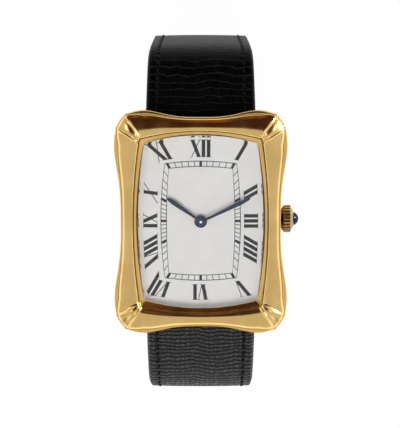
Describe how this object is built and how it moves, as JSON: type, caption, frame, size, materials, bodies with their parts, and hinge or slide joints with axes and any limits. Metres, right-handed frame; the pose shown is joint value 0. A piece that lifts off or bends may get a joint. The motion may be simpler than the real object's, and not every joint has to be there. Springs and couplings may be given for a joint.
{
  "type": "rectangular wristwatch",
  "caption": "Rectangular gold wristwatch with a bamboo-form bezel, Roman numerals, blued hands, a stone-set crown, a wound movement inside and a black leather strap closed by a pin buckle.",
  "frame": {"origin": "centre of the fixed keeper's underside, where the closed strap stands on a table", "axes": "+Z out of the dial, +Y towards twelve o'clock, +X towards the crown"},
  "size_m": [0.0299, 0.0578, 0.0534],
  "materials": {
    "gold": "polished gold plate",
    "crystal": "clear domed",
    "black_rubber": "matt",
    "white_plastic": "matt",
    "dial_white": "satin white",
    "blued_steel": "blued",
    "steel": "polished",
    "wheel_brass": "satin",
    "plate_brass": "pale plated, satin",
    "blue_stone": "polished cabochon",
    "black_leather": "satin, fine scale grain"
  },
  "bodies": {
    "watch": {"case_middle": "gold", "bezel": "gold", "case_back": "gold", "back_gasket": "black_rubber", "back_screws": "gold", "crystal": "crystal", "crystal_gasket": "white_plastic", "dial": "dial_white", "crown_tube": "gold", "movement_ring": "wheel_brass", "main_plate": "plate_brass", "barrel_bridge": "plate_brass", "train_bridge": "plate_brass", "balance_cock": "plate_brass", "strap_twelve": "black_leather", "strap_six": "black_leather", "spring_bars": "steel", "buckle_frame": "gold", "buckle_pin": "steel", "fixed_keeper": "black_leather"},
    "winding_pinion_body": {"winding_pinion": "steel"},
    "crown_body": {"crown": "gold", "crown_stone": "blue_stone", "winding_stem": "steel"},
    "minute_body": {"minute_hand": "blued_steel", "cannon_pinion": "steel"},
    "centre_body": {"centre_wheel": "wheel_brass"},
    "hour_body": {"hour_hand": "blued_steel", "hour_wheel": "wheel_brass"},
    "minute_wheel_body": {"minute_wheel": "wheel_brass"},
    "barrel_body": {"mainspring_barrel": "wheel_brass"},
    "third_body": {"third_wheel": "wheel_brass"},
    "fourth_body": {"fourth_wheel": "wheel_brass"},
    "escape_body": {"escape_wheel": "steel"},
    "pallet_body": {"pallet_fork": "steel"},
    "balance_body": {"balance_wheel": "wheel_brass", "hairspring": "blued_steel"},
    "tang_body": {"tang": "gold"},
    "sliding_keeper_body": {"sliding_keeper": "black_leather"}
  },
  "joints": [
    {"name": "crown_turn", "type": "hinge", "parent": "watch", "child": "winding_pinion_body", "pos_m": [0.0071, 0, 0.04866], "axis": [1, 0, 0], "continuous": true},
    {"name": "crown_pull", "type": "slide", "parent": "winding_pinion_body", "child": "crown_body", "axis": [1, 0, 0], "range_m": [0, 0.0008]},
    {"name": "minute_turn", "type": "hinge", "parent": "watch", "child": "minute_body", "pos_m": [0, 0, 0.0481], "axis": [0, 0, -1], "continuous": true},
    {"name": "hour_turn", "type": "hinge", "parent": "watch", "child": "hour_body", "pos_m": [0, 0, 0.0481], "axis": [0, 0, -1], "continuous": true},
    {"name": "minute_wheel_turn", "type": "hinge", "parent": "watch", "child": "minute_wheel_body", "pos_m": [0.0012, -0.00208, 0.0481], "axis": [0, 0, -1], "continuous": true},
    {"name": "fourth_turn", "type": "hinge", "parent": "watch", "child": "fourth_body", "pos_m": [-0.00493, -0.00244, 0.0481], "axis": [0, 0, -1], "continuous": true},
    {"name": "centre_turn", "type": "hinge", "parent": "watch", "child": "centre_body", "pos_m": [0, 0, 0.0481], "axis": [0, 0, -1], "continuous": true},
    {"name": "barrel_turn", "type": "hinge", "parent": "watch", "child": "barrel_body", "pos_m": [0.00339, 0.00339, 0.0481], "axis": [0, 0, -1], "continuous": true},
    {"name": "third_turn", "type": "hinge", "parent": "watch", "child": "third_body", "pos_m": [-0.00423, 0.00154, 0.0481], "axis": [0, 0, -1], "continuous": true},
    {"name": "escape_turn", "type": "hinge", "parent": "watch", "child": "escape_body", "pos_m": [-0.00187, -0.00458, 0.0481], "axis": [0, 0, -1], "continuous": true},
    {"name": "pallet_rock", "type": "hinge", "parent": "watch", "child": "pallet_body", "pos_m": [0.00058, -0.00459, 0.0481], "axis": [0, 0, -1], "range_deg": [-5, 5]},
    {"name": "balance_swing", "type": "hinge", "parent": "watch", "child": "balance_body", "pos_m": [0.004, -0.0046, 0.0481], "axis": [0, 0, -1], "range_deg": [-135, 135], "stiffness_Nm_per_rad": 0.00000003},
    {"name": "tang_lift", "type": "hinge", "parent": "watch", "child": "tang_body", "pos_m": [0, -0.005, 0.004], "axis": [1, 0, 0], "range_deg": [0, 25]},
    {"name": "keeper_slide", "type": "slide", "parent": "watch", "child": "sliding_keeper_body", "axis": [0, 1, 0], "range_m": [-0.0024, 0.0024]}
  ],
  "couplings": [
    {"joint": "hour_turn", "follows": "minute_turn", "ratio": 0.083333},
    {"joint": "minute_wheel_turn", "follows": "minute_turn", "ratio": -0.33333},
    {"joint": "centre_turn", "follows": "fourth_turn", "ratio": 0.016667},
    {"joint": "barrel_turn", "follows": "fourth_turn", "ratio": -0.002381},
    {"joint": "third_turn", "follows": "fourth_turn", "ratio": -0.13333},
    {"joint": "escape_turn", "follows": "fourth_turn", "ratio": -10}
  ]
}
